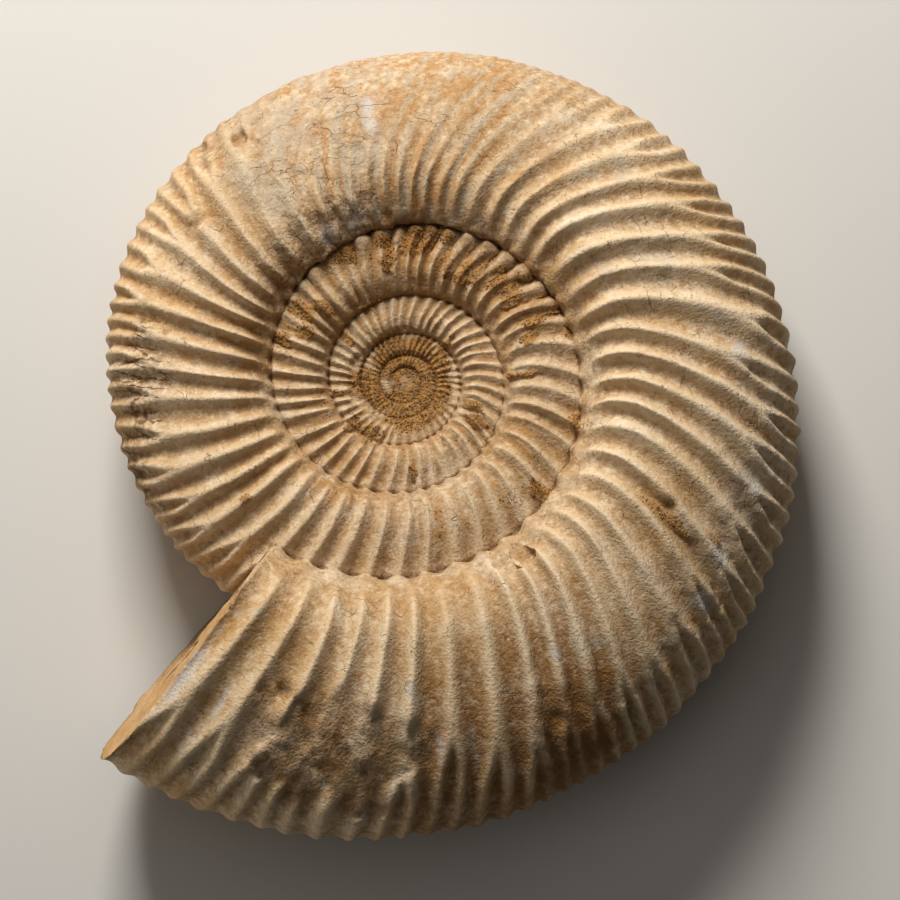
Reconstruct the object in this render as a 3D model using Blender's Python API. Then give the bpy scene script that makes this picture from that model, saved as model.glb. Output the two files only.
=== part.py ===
"""A ribbed ammonite fossil lying on its flank, one solid piece of stone. Metres, +Z up.

The shell is a logarithmic spiral: every whorl is the whorl before it, grown by one ratio a turn.
The surface is a grid of columns that follow the ribs and rows that follow the spiral. A whorl that
is covered by the next one keeps only its inner flank, and its last row is the next whorl's first.
"""

import math

import bmesh
import bpy
from mathutils import Matrix, Vector

# The coil: its outer edge, seen along the coiling axis, and the direction of the aperture
APERTURE_RADIUS = 0.0850
GROWTH_PER_TURN = 1.76
TURNS = 3
APERTURE_ANGLE = math.radians(231.5)

# The whorl's section, as shares of the radius of its outer edge
HALF_BREADTH = 0.235
WIDEST_RADIUS = 0.62
SEAM_RADIUS = 0.45
VENTER_REACH = 1.0 - WIDEST_RADIUS
COVERED_RADIUS = SEAM_RADIUS * GROWTH_PER_TURN

# The ribs: each runs from the seam up the flank, and forks in two on the outer edge
RIBS_PER_TURN = 48
COLUMNS_PER_RIB = 4
FLANK_RIB_HEIGHT = 0.0165
VENTER_RIB_HEIGHT = 0.0115
RIB_BOW = math.radians(5.0)
BOW_SKEW = 0.7
RIB_SWEEP = math.radians(10.0)
SWEEP_FADE_TURNS = 0.16

# Rows on one side of the section: from the seam to where the next whorl covers it, and on to the edge
FLANK_ROWS = 3
VENTER_ROWS = 3

# The broken aperture is twisted, its lower edge ahead of its upper, by so much over one outer radius
# of height, and sediment fills the middle of the coil
APERTURE_TWIST = math.radians(12.0)
CORE_FILL_HEIGHT = 0.0018

# The fossil lies on the ribs of its lower flank, which tips the coil's axis and has rubbed them flat
LEAN_ACROSS = math.radians(-3.0)
LEAN_ALONG = math.radians(1.4)
RUBBED_DEPTH = 0.0006

STONE_COLOUR = (0.62, 0.47, 0.30, 1.0)
STONE_ROUGHNESS = 0.85

COLUMNS_PER_TURN = RIBS_PER_TURN * COLUMNS_PER_RIB
LAST_COLUMN = TURNS * COLUMNS_PER_TURN
FIRST_FULL_COLUMN = LAST_COLUMN - COLUMNS_PER_TURN
LAST_ROW = FLANK_ROWS + VENTER_ROWS


def smooth_step(value):
    """0 below 0, 1 above 1, and an even ease between them."""
    value = min(max(value, 0.0), 1.0)
    return value * value * (3.0 - 2.0 * value)


def section_height(radius):
    """The flank's height above the mid-plane on the outer side of its widest line."""
    return HALF_BREADTH * math.sqrt(1.0 - ((radius - WIDEST_RADIUS) / VENTER_REACH) ** 2)


SEAM_HEIGHT = section_height(COVERED_RADIUS) / GROWTH_PER_TURN
SEAM_REACH = (WIDEST_RADIUS - SEAM_RADIUS) / math.sqrt(1.0 - (SEAM_HEIGHT / HALF_BREADTH) ** 2)


def section_point(row):
    """(radius, height) of a row on the section, and the outward direction there."""
    seam_angle = math.pi - math.asin(SEAM_HEIGHT / HALF_BREADTH)
    covered_angle = math.acos((COVERED_RADIUS - WIDEST_RADIUS) / VENTER_REACH)
    if row <= FLANK_ROWS:
        angle = seam_angle + (covered_angle - seam_angle) * row / FLANK_ROWS
    else:
        angle = covered_angle * (LAST_ROW - row) / VENTER_ROWS
    reach = VENTER_REACH if math.cos(angle) > 0.0 else SEAM_REACH
    point = Vector((WIDEST_RADIUS + reach * math.cos(angle), HALF_BREADTH * math.sin(angle)))
    outward = Vector((math.cos(angle) / reach, math.sin(angle) / HALF_BREADTH)).normalized()
    return point, outward


def turns_from_end(column):
    """How far a column is from the nearer end of the last whorl, in turns."""
    from_aperture = (LAST_COLUMN - column) / COLUMNS_PER_TURN
    return min(from_aperture, abs(1.0 - from_aperture))


def rib_lag(column, radius):
    """The angle by which a rib trails behind its start at the seam: it bows back, then sweeps forward."""
    if radius < COVERED_RADIUS:
        share = max(radius - SEAM_RADIUS, 0.0) / (COVERED_RADIUS - SEAM_RADIUS)
        return RIB_BOW * math.sin(math.pi * share ** BOW_SKEW)
    share = (radius - COVERED_RADIUS) / (1.0 - COVERED_RADIUS)
    return -RIB_SWEEP * share * smooth_step(turns_from_end(column) / SWEEP_FADE_TURNS)


def rib_height(column, row):
    """How far the ribs lift the surface, as a share of the outer radius."""
    phase = column / COLUMNS_PER_RIB
    primary = 0.5 + 0.5 * math.cos(math.tau * phase)
    forked = 0.5 - 0.5 * math.cos(2.0 * math.tau * phase)
    fork = smooth_step((row - FLANK_ROWS) / 1.5)
    rise = smooth_step((row + 0.4) / 1.4)
    flank = FLANK_RIB_HEIGHT * (1.0 - fork) * primary
    return rise * (flank + VENTER_RIB_HEIGHT * fork * forked)


def surface_point(column, row, side):
    """A point of the surface: side is 1 on the upper flank and -1 on the lower."""
    (radius, height), outward = section_point(row)
    lag = rib_lag(column, radius)
    turns_back = (LAST_COLUMN - column) / COLUMNS_PER_TURN + lag / math.tau
    scale = APERTURE_RADIUS * GROWTH_PER_TURN ** -turns_back
    lift = rib_height(column, row)
    radius = scale * (radius + lift * outward.x)
    height = side * scale * (height + lift * outward.y)
    near_end = 1.0 - smooth_step(turns_from_end(column) / SWEEP_FADE_TURNS)
    twist = near_end * APERTURE_TWIST * height / APERTURE_RADIUS
    angle = APERTURE_ANGLE + math.tau * turns_back + twist
    return Vector((radius * math.cos(angle), radius * math.sin(angle), height))


def grow_side(bm, venter, side):
    """Adds the vertices of one flank. Returns them by (column, row), the shared ones under both names."""
    grid = {}
    for column in range(LAST_COLUMN, -1, -1):
        whole = column >= FIRST_FULL_COLUMN
        for row in range(LAST_ROW + 1 if whole else FLANK_ROWS + 1):
            if row == LAST_ROW:
                grid[column, row] = venter[column]
            elif row == FLANK_ROWS and column <= FIRST_FULL_COLUMN:
                grid[column, row] = grid[column + COLUMNS_PER_TURN, 0]
            else:
                grid[column, row] = bm.verts.new(surface_point(column, row, side))
    return grid


def skin_side(bm, grid):
    """Faces between neighbouring columns: whole ones on the last whorl, inner flanks on the others."""
    for column in range(LAST_COLUMN):
        rows = LAST_ROW if column >= FIRST_FULL_COLUMN else FLANK_ROWS
        for row in range(rows):
            corners = ((column, row), (column + 1, row), (column + 1, row + 1), (column, row + 1))
            bm.faces.new([grid[corner] for corner in corners])


def fill_core(bm, grid, side):
    """Closes the middle of the coil with a low cone of sediment."""
    rim = [grid[column, 0] for column in range(COLUMNS_PER_TURN)]
    rim += [grid[0, row] for row in range(FLANK_ROWS, 0, -1)]
    centre = bm.verts.new((0.0, 0.0, side * CORE_FILL_HEIGHT))
    for first, second in zip(rim, rim[1:] + rim[:1]):
        bm.faces.new((first, second, centre))


def close_aperture(bm, upper, lower):
    """The broken end: a crescent between the last section and the whorl that it grew over."""
    def around(column, first_row):
        rows = range(first_row, LAST_ROW + 1)
        return [upper[column, row] for row in rows] + [lower[column, row] for row in reversed(rows[:-1])]

    outer = around(LAST_COLUMN, 0)
    inner = around(FIRST_FULL_COLUMN, FLANK_ROWS)
    bm.faces.new(outer + inner[-2:0:-1])


def rest_on_flank(bm):
    """Tips the coil as it lies, cuts its lowest ribs flat, and stands it on z = 0 over the origin."""
    bm.transform(Matrix.Rotation(LEAN_ACROSS, 4, "X") @ Matrix.Rotation(LEAN_ALONG, 4, "Y"))
    floor = min(vertex.co.z for vertex in bm.verts) + RUBBED_DEPTH
    cut = bmesh.ops.bisect_plane(
        bm,
        geom=bm.verts[:] + bm.edges[:] + bm.faces[:],
        plane_co=(0.0, 0.0, floor),
        plane_no=(0.0, 0.0, -1.0),
        clear_outer=True,
    )
    rims = [edge for edge in cut["geom_cut"] if isinstance(edge, bmesh.types.BMEdge)]
    bmesh.ops.holes_fill(bm, edges=rims)
    xs = [vertex.co.x for vertex in bm.verts]
    ys = [vertex.co.y for vertex in bm.verts]
    middle = Vector(((min(xs) + max(xs)) / 2.0, (min(ys) + max(ys)) / 2.0, floor))
    bmesh.ops.translate(bm, verts=bm.verts, vec=-middle)


def stone_material():
    material = bpy.data.materials.new("limestone")
    material.use_nodes = True
    shader = material.node_tree.nodes["Principled BSDF"]
    shader.inputs["Base Color"].default_value = STONE_COLOUR
    shader.inputs["Roughness"].default_value = STONE_ROUGHNESS
    shader.inputs["Metallic"].default_value = 0.0
    return material


def build_ammonite():
    bm = bmesh.new()
    venter = {
        column: bm.verts.new(surface_point(column, LAST_ROW, 1))
        for column in range(FIRST_FULL_COLUMN, LAST_COLUMN + 1)
    }
    upper = grow_side(bm, venter, 1)
    lower = grow_side(bm, venter, -1)
    for grid, side in ((upper, 1), (lower, -1)):
        skin_side(bm, grid)
        fill_core(bm, grid, side)
    close_aperture(bm, upper, lower)
    rest_on_flank(bm)
    bmesh.ops.triangulate(bm, faces=bm.faces)
    bmesh.ops.recalc_face_normals(bm, faces=bm.faces)
    mesh = bpy.data.meshes.new("ammonite")
    bm.to_mesh(mesh)
    bm.free()
    mesh.shade_smooth()
    mesh.set_sharp_from_angle(angle=math.radians(40.0))
    mesh.materials.append(stone_material())
    ammonite = bpy.data.objects.new("ammonite", mesh)
    bpy.context.scene.collection.objects.link(ammonite)
    return ammonite


def main():
    for obj in list(bpy.data.objects):
        bpy.data.objects.remove(obj)
    build_ammonite()


main()
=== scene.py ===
"""A weathered ammonite fossil on a plain stage.

The coil grows in Geometry Nodes, from grids whose columns are turns and whose rows go round the whorl.
Wear, chips, cracks and sediment are then worked into its mesh, and loose crumbs lie in its furrows.
"""

import itertools
import math

import bmesh
import bpy
import numpy as np
from mathutils import Matrix, Vector


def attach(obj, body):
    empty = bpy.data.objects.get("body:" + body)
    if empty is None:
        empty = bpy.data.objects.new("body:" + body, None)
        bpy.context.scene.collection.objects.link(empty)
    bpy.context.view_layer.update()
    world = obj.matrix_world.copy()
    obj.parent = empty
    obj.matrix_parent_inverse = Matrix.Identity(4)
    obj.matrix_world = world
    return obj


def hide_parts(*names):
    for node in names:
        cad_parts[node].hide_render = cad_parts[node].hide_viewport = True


bl_info = {
    "name": "Ammonite Fossil",
    "version": (1, 0, 0),
    "blender": (4, 5, 0),
    "location": "View3D > Sidebar > Ammonite",
    "description": "Builds a ribbed ammonite fossil, the sediment in it and a plain stage",
    "category": "Add Mesh",
}

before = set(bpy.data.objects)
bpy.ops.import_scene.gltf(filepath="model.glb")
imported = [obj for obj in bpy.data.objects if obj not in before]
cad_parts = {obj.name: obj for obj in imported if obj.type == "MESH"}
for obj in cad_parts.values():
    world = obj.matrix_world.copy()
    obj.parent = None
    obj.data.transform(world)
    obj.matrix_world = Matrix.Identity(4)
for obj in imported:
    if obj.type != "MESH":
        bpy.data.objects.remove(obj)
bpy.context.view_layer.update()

# How the fossil lies: the coil's axis leans, and its centre stands over this point of the shelf
REST_TURN = Matrix.Rotation(math.radians(-3.0), 4, "X") @ Matrix.Rotation(math.radians(1.4), 4, "Y")
COIL_CENTRE = Vector((-0.008685, 0.00998, 0.017977))

# The camera looks a little from below the picture, and a little from one side
CAMERA_TILT = math.radians(8.4)
CAMERA_SIDE = math.radians(0.75)

# The whorl's section, as shares of the radius of its outer edge
WIDEST_RADIUS = 0.62
SEAM_RADIUS = 0.45
VENTER_REACH = 1.0 - WIDEST_RADIUS
APERTURE_ANGLE = math.radians(231.5)
APERTURE_TWIST = math.radians(12.0)
TURNS = 5

# Grid: columns in a turn, and rows in each quarter of the whorl's girth
COLUMNS_PER_TURN = 800
ROWS_PER_QUARTER = 44
# Triangles of the finished fossil, in all and on the side it lies on
MOST_TRIANGLES = 192000
LOWER_TRIANGLES = 45000
# Crumbs on thick sediment, in a square metre, and the seed that scatters them
CRUMBS_PER_AREA = 6000000.0
CRUMB_SEED = 7
MILLIMETRE = 0.001

# Ribs counted back from the aperture: (degrees back, rib number)
RIB_NUMBERS = (
    (-36, -8.0), (4.7, -2), (26.5, 1), (47.5, 4), (61.3, 6), (77.3, 9), (96.7, 12), (123.7, 16), (137.8, 18),
    (200, 27), (244, 36), (268, 39),
    (311, 45), (356, 51), (415, 58), (475, 65), (546, 74), (612, 83), (675, 91), (734, 98),
    (1080, 140), (1440, 184), (1800, 226),
)
FIRST_RIB_DEGREE, LAST_RIB_DEGREE = RIB_NUMBERS[0][0], RIB_NUMBERS[-1][0]
FIRST_RIB, LAST_RIB = RIB_NUMBERS[0][1], RIB_NUMBERS[-1][1]
BEND_RANGE = 15.0
# How wide a rib is in the space that the stone's streaks and cracks are laid out in
RIB_PITCH = 0.006
# The full height of a rib, as a share of the outer radius
FULL_RIB = 0.027
# How strong the ribs are along the coil: (degrees back, share of the full height)
RIB_STRENGTH = (
    (0, 0.8), (20, 0.85), (42, 0.95), (66, 0.95), (86, 0.95), (110, 1.08), (150, 1.08), (172, 0.88),
    (195, 0.62), (225, 0.6), (243, 0.68), (262, 0.95), (300, 1.12), (360, 1.1), (450, 1.1), (1800, 0.95),
)
# How far the outer half of the flank is worn smooth: (degrees back, share)
WORN = (
    (0, 0.0), (50, 0.1), (80, 0.0), (165, 0.1), (192, 0.6), (225, 0.78), (246, 0.55), (268, 0.0), (360, 0.0),
)
# How strong they are round the whorl, from the seam at 0 to the outer edge at 1
RIB_STRENGTH_ROUND = (
    (0.0, 0.0), (0.05, 0.06), (0.1, 0.28), (0.15, 0.62), (0.21, 0.9), (0.28, 1.02), (0.4, 1.06), (0.52, 1.0),
    (0.62, 0.86), (0.75, 0.76), (0.88, 0.58), (1.0, 0.42),
)
# How many degrees a rib bows back and sweeps forward, from the seam at 0 to the outer edge at 1
RIB_BOW = (
    (0.0, 0.0), (0.06, 0.7), (0.13, 2.1), (0.2, 3.1), (0.27, 3.5), (0.344, 3.2), (0.43, 2.2), (0.553, 1.0),
    (0.765, 0.2), (1.0, 0.0),
)
RIB_SWEEP = (
    (0.0, 0.0), (0.13, 0.2), (0.235, 0.9), (0.344, 2.1), (0.41, 3.6), (0.5, 5.8), (0.765, 9.6), (1.0, 10.8),
)
# How much of either the ribs have along the coil: (degrees back, share)
BOW_SHARE = (
    (0, 0.2), (60, 0.4), (100, 1.0), (170, 1.0), (240, 0.6), (290, 0.25), (340, 0.1), (400, 0.4),
    (450, 0.9), (520, 0.9), (600, 0.4), (660, 0.1), (720, 0.3), (800, 0.7), (880, 0.7), (960, 0.4),
    (1020, 0.1), (1800, 0.3),
)
SWEEP_SHARE = (
    (0, 0.3), (50, 0.45), (85, 0.65), (105, 0.95), (130, 1.0), (180, 1.0), (240, 0.85), (290, 0.6),
    (330, 0.5), (420, 0.5), (490, 0.6), (560, 0.6), (650, 0.35), (720, 0.4), (850, 0.55), (1010, 0.35),
    (1800, 0.4),
)

# Sediment left in the furrows of the inner whorls, in millimetres as seen from the coil's centre:
# (to the right, up, reach along the ribs, reach across them)
FURROW_FILLS = (
    (-12.9, 21.9, 2.2, 1.5), (-10.0, 22.9, 2.6, 1.7), (-3.0, 23.0, 3.0, 1.3), (2.0, 25.0, 1.8, 2.8),
    (6.5, 26.5, 1.4, 3.0), (7.5, 20.0, 2.6, 1.0), (10.5, 19.5, 2.6, 1.0), (13.2, 19.5, 2.4, 1.1),
    (16.5, 19.0, 2.6, 1.1), (20.5, 17.3, 3.4, 1.6), (19.0, 14.6, 2.6, 1.1), (24.5, 12.0, 4.6, 1.1),
    (22.0, 8.2, 2.6, 1.1), (29.6, 8.8, 1.7, 1.3), (21.5, 1.8, 2.6, 0.9), (30.4, -6.6, 1.5, 1.3),
    (24.4, -19.4, 2.6, 1.4), (-18.8, 13.2, 3.2, 1.5), (-17.4, 8.8, 2.2, 1.3), (-21.8, 7.6, 2.2, 1.7),
    (-14.4, 13.4, 1.6, 0.8), (-10.2, 7.8, 1.3, 0.9), (-12.0, -1.8, 1.5, 0.6), (-9.0, -7.2, 1.6, 1.0),
    (-6.2, -9.4, 2.0, 1.7), (-27.8, -20.6, 1.2, 1.1), (12.4, -3.8, 1.3, 0.8), (12.8, -6.7, 1.9, 1.0),
    (7.4, 6.9, 1.7, 0.9), (-5.6, 14.2, 0.8, 2.4), (1.6, -15.6, 1.5, 0.6),
)
# Thin pale shell still on the last whorl: (degrees back, share of the radius, spans of both)
SHELL_PATCHES = (
    (134.7, 0.857, 2.2, 0.03), (140.7, 0.83, 1.3, 0.02), (92.0, 0.87, 1.9, 0.035), (100.0, 0.865, 2.0, 0.03),
    (44.2, 0.79, 0.8, 0.05), (49.3, 0.82, 0.8, 0.07), (68.0, 0.70, 1.4, 0.025), (75.0, 0.736, 1.3, 0.02),
    (40.0, 0.66, 1.1, 0.018), (2.0, 0.74, 1.0, 0.12), (9.0, 0.76, 0.7, 0.05), (236.0, 0.52, 6.0, 0.03),
    (226.0, 0.80, 1.6, 0.05), (246.0, 0.51, 4.0, 0.03), (316.0, 0.86, 1.4, 0.025), (112.0, 0.90, 2.0, 0.03),
)
# Pits and chips on the last whorl: (degrees back, share of the radius, radius and depth in millimetres)
PITS = (
    (18.6, 0.73, 2.0, 1.1), (253.0, 0.91, 1.7, 0.9), (258.5, 0.96, 1.8, 0.8), (272.0, 0.82, 1.9, 0.6),
    (299.0, 0.80, 1.1, 0.4), (62.0, 0.86, 2.4, 0.5), (101.0, 0.72, 1.8, 0.5),
)

# The stone's patterns: (name, size in metres, detail, shift from the others, roughness)
STONE_PATTERNS = (
    ("broad", 0.021, 3.0, 0.0, 0.55), ("medium", 0.0062, 4.0, 0.3, 0.55), ("fine", 0.0013, 4.0, 0.7, 0.65),
    ("speck", 0.00055, 2.0, 1.1, 0.55), ("thin shell", 0.0075, 4.0, 1.7, 0.6),
    ("sooty", 0.004, 5.0, 3.1, 0.7), ("here and there", 0.0042, 3.0, 5.0, 0.55),
)
# Marks that the weathering, and the painted shade along the seams, leave on the mesh, from 0 to 1
STONE_MARKS = (
    "crest", "streaks", "flakes", "shell", "layers", "browned", "stain", "pits", "sediment", "seam_shade_and_dirt",
    "open_seam", "break_face",
)
# Cracks part the stone into cells of this size
CRACK_CELL = 0.0036
# What is painted over the cream stone, first to last: (paint, what its share is the product of)
STONE_LAYERS = (
    ("tan", ("broad", 0.38, 0.66)),
    ("ochre", ("medium", 0.5, 0.72, 0.0, 0.5)),
    ("tan", ("streak", 0.5, 0.7, 0.0, 0.35)),
    ("chalk", ("medium", 0.46, 0.3, 0.0, 0.5)),
    ("ochre", ("fine", 0.52, 0.68, 0.0, 0.4)),
    ("chalk", ("fine", 0.46, 0.32, 0.0, 0.35)),
    # Dirt stays in the furrows, in grains, and painted shade darkens them further, and the crests are rubbed
    # pale
    ("furrow", ("crest", 0.5, 0.0, 0.0, 0.62), ("fine", 0.35, 0.62, 0.25, 1.0)),
    ("crest", ("crest", 0.5, 0.95), ("medium", 0.35, 0.6, 0.1, 0.6)),
    # Orange and grey streaks run along the worn ribs
    ("rust", "streaks", ("streak", 0.52, 0.62, 0.0, 0.35)),
    ("grey", "streaks", ("streak", 0.5, 0.38, 0.0, 0.6)),
    # Thin grey shell on the flakes and here and there on the flank, and pearly patches of it
    ("grey", "flakes", ("thin shell", 0.44, 0.58, 0.0, 0.45)),
    ("grey", ("thin shell", 0.63, 0.71, 0.0, 0.5)),
    ("pearl", ("pearly", 1.7, 2.4, 0.0, 0.8)),
    # Broken layers, dusty furrows, the broken patch, pits and sediment
    ("umber", "layers", ("fine", 0.4, 0.65, 0.0, 0.5)),
    ("furrow", "browned", ("fine", 0.3, 0.6, 0.25, 0.8)),
    ("furrow", "stain", ("medium", 0.34, 0.6, 0.1, 0.6)),
    ("soot", "stain", ("sooty", 0.5, 0.62, 0.0, 0.75), ("fine", 0.3, 0.55, 0.4, 1.0)),
    ("furrow", "pits", ("fine", 0.3, 0.6, 0.2, 0.7)),
    ("dirt", "sediment", ("fine", 0.25, 0.5, 0.6, 1.0)),
    # Painted shade and dirt along the seams' creases, and darker umber shade and dirt in the open seam
    ("furrow", "seam_shade_and_dirt", ("fine", 0.3, 0.6, 0.4, 0.9)),
    ("umber", "open_seam", ("fine", 0.35, 0.6, 0.3, 0.85)),
    ("matrix", ("break_face", 0.0, 1.0, 0.0, 0.9)),
    # Specks of dark and light mineral
    ("furrow", ("speck", 0.62, 0.7, 0.0, 0.6)),
    ("chalk", ("speck", 0.34, 0.26, 0.0, 0.45)),
    ("umber", ("cracks", 0.0, 1.0, 0.0, 0.55)),
    ("umber", ("slits", 0.0, 1.0, 0.0, 0.85)),
)
# The sediment, over umber, and the stone of the break at the aperture, over tan
DIRT_LAYERS = (("sand", ("fine", 0.32, 0.54)), ("rust", ("medium", 0.52, 0.66, 0.0, 0.35)))
MATRIX_LAYERS = (("ochre", ("medium", 0.4, 0.62)),)


def hex_colour(code):
    """An sRGB hex colour as the linear values that shaders take."""
    parts = [int(code[i:i + 2], 16) / 255.0 for i in (1, 3, 5)]
    linear = [part / 12.92 if part <= 0.04045 else ((part + 0.055) / 1.055) ** 2.4 for part in parts]
    return (*linear, 1.0)


def add(tree, kind, inputs=(), **settings):
    """Adds a node, applies its settings and fills its inputs, by place or by name, with links or values.
    A kind in capitals is a Math node's operation."""
    if kind.isupper():
        kind, settings = "ShaderNodeMath", {**settings, "operation": kind}
    node = tree.nodes.new(kind)
    for name, value in settings.items():
        setattr(node, name, value)
    for key, value in inputs.items() if isinstance(inputs, dict) else enumerate(inputs):
        if isinstance(value, bpy.types.NodeSocket):
            tree.links.new(value, node.inputs[key])
        elif value is not None:
            node.inputs[key].default_value = value
    return node


def output(tree, kind, inputs=(), **settings):
    """Adds a node and gives its first output."""
    return add(tree, kind, inputs, **settings).outputs[0]


def draw_curve(node, points, low_x=0.0, high_x=1.0, low_y=0.0, high_y=1.0):
    """Draws a float curve through points, whose ranges are brought to 0 to 1."""
    node.mapping.use_clip = False
    curve = node.mapping.curves[0]
    places = [((x - low_x) / (high_x - low_x), (y - low_y) / (high_y - low_y)) for x, y in points]
    curve.points[0].location, curve.points[-1].location = places[0], places[-1]
    for place in places[1:-1]:
        curve.points.new(*place)
    for point in curve.points:
        point.handle_type = "AUTO_CLAMPED"
    node.mapping.update()


def new_tree(name, inputs, outputs):
    """A node group with named inputs, (name, socket type, default) each, and named outputs."""
    tree = bpy.data.node_groups.new(name, "GeometryNodeTree")
    for label, kind, default in inputs:
        socket = tree.interface.new_socket(name=label, in_out="INPUT", socket_type=kind)
        if default is not None:
            socket.default_value = default
    for label, kind in outputs:
        tree.interface.new_socket(name=label, in_out="OUTPUT", socket_type=kind)
    return tree


def rib_tree():
    """How far the ribs lift the surface, as a share of the outer radius, at a place on the coil."""
    tree = new_tree(
        "rib lift",
        (
            ("Turns Back", "NodeSocketFloat", 0.0),
            ("Girth", "NodeSocketFloat", 0.0),
            ("Rib Height", "NodeSocketFloat", FULL_RIB),
        ),
        (("Lift", "NodeSocketFloat"), ("Number", "NodeSocketFloat")),
    )
    given = add(tree, "NodeGroupInput").outputs
    turns, girth, full_height = given[0], given[1], given[2]
    share = output(tree, "MULTIPLY", (girth, 0.5))
    # A rib bows back over the umbilical shoulder and sweeps forward up the flank
    coil_share = output(tree, "MULTIPLY", (turns, 1.0 / TURNS))
    started = turns
    for shape, amount, direction in ((RIB_BOW, BOW_SHARE, -1.0), (RIB_SWEEP, SWEEP_SHARE, 1.0)):
        bend = add(tree, "ShaderNodeFloatCurve", (1.0, share))
        draw_curve(bend, shape, 0.0, 1.0, 0.0, BEND_RANGE)
        how_much = add(tree, "ShaderNodeFloatCurve", (1.0, coil_share))
        draw_curve(how_much, amount, 0.0, 360.0 * TURNS)
        bend = output(tree, "MULTIPLY", (bend.outputs[0], how_much.outputs[0]))
        started = output(tree, "MULTIPLY_ADD", (bend, direction * BEND_RANGE / 360.0, started))
    # A slow wander keeps neighbouring ribs from being copies
    along_ribs = output(tree, "MULTIPLY", (started, 14.0))
    wander = output(tree, "ShaderNodeCombineXYZ", (along_ribs, share, 0.0))
    wander = output(tree, "ShaderNodeTexNoise", {"Vector": wander, "Scale": 1.0, "Detail": 1.0})
    wander = output(tree, "ShaderNodeMapRange", (wander, 0.0, 1.0, -0.55, 0.55))
    degree_span = LAST_RIB_DEGREE - FIRST_RIB_DEGREE
    along = output(tree, "MULTIPLY_ADD", (started, 360.0 / degree_span, -FIRST_RIB_DEGREE / degree_span))
    number = add(tree, "ShaderNodeFloatCurve", (1.0, along))
    draw_curve(number, RIB_NUMBERS, FIRST_RIB_DEGREE, LAST_RIB_DEGREE, FIRST_RIB, LAST_RIB)
    number = output(tree, "MULTIPLY_ADD", (number.outputs[0], LAST_RIB - FIRST_RIB, FIRST_RIB))
    number = output(tree, "ADD", (number, wander))
    nearest = output(tree, "ROUND", (number,))
    luck = output(tree, "ShaderNodeTexWhiteNoise", {"W": nearest}, noise_dimensions="1D")
    from_crest = output(tree, "PINGPONG", (number, 0.5))
    # Each rib forks in two on its way to the outer edge, some sooner than others
    fork_start = output(tree, "ShaderNodeMapRange", (luck, 0.0, 1.0, 0.92, 1.16))
    past_fork = output(tree, "SUBTRACT", (girth, fork_start))
    split = output(
        tree, "ShaderNodeMapRange", (past_fork, 0.0, 0.42, 0.0, 0.25), interpolation_type="SMOOTHSTEP"
    )
    from_branch = output(tree, "SUBTRACT", (from_crest, split))
    from_branch = output(tree, "ABSOLUTE", (from_branch,))
    half_width = output(tree, "SUBTRACT", (0.5, split))
    side = output(tree, "DIVIDE", (from_branch, half_width), use_clamp=True)
    # The crest is narrow, and rounder on the outer edge, and the furrow beside it wide and round
    soft = output(tree, "ShaderNodeMapRange", (girth, 0.8, 1.5, 0.06, 0.7), interpolation_type="SMOOTHSTEP")
    wave = output(tree, "MULTIPLY", (side, math.pi / 2.0))
    wave = output(tree, "SINE", (wave,))
    wave = output(tree, "MULTIPLY_ADD", (wave, wave, soft))
    wave = output(tree, "SQRT", (wave,))
    crest_wave = output(tree, "SQRT", (soft,))
    furrow_wave = output(tree, "ADD", (soft, 1.0))
    furrow_wave = output(tree, "SQRT", (furrow_wave,))
    crest = output(tree, "ShaderNodeMapRange", (wave, crest_wave, furrow_wave, 1.0, 0.0))
    uneven = output(tree, "ShaderNodeMapRange", (luck, 0.0, 1.0, 0.85, 1.12))
    crest = output(tree, "MULTIPLY", (crest, uneven))
    strength = add(tree, "ShaderNodeFloatCurve", (1.0, coil_share))
    draw_curve(strength, RIB_STRENGTH, 0.0, 360.0 * TURNS)
    worn = add(tree, "ShaderNodeFloatCurve", (1.0, turns))
    draw_curve(worn, WORN, 0.0, 360.0)
    outer_half = output(
        tree, "ShaderNodeMapRange", (share, 0.22, 0.5, 0.0, 1.0), interpolation_type="SMOOTHSTEP"
    )
    worn = output(tree, "MULTIPLY", (worn.outputs[0], outer_half))
    kept = output(tree, "SUBTRACT", (1.0, worn))
    strength_round = add(tree, "ShaderNodeFloatCurve", (1.0, share))
    draw_curve(strength_round, RIB_STRENGTH_ROUND)
    lift = output(tree, "MULTIPLY", (strength.outputs[0], strength_round.outputs[0]))
    lift = output(tree, "MULTIPLY", (lift, kept))
    lift = output(tree, "MULTIPLY", (lift, crest))
    lift = output(tree, "MULTIPLY", (lift, full_height))
    add(tree, "NodeGroupOutput", (lift, number))
    return tree


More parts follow.
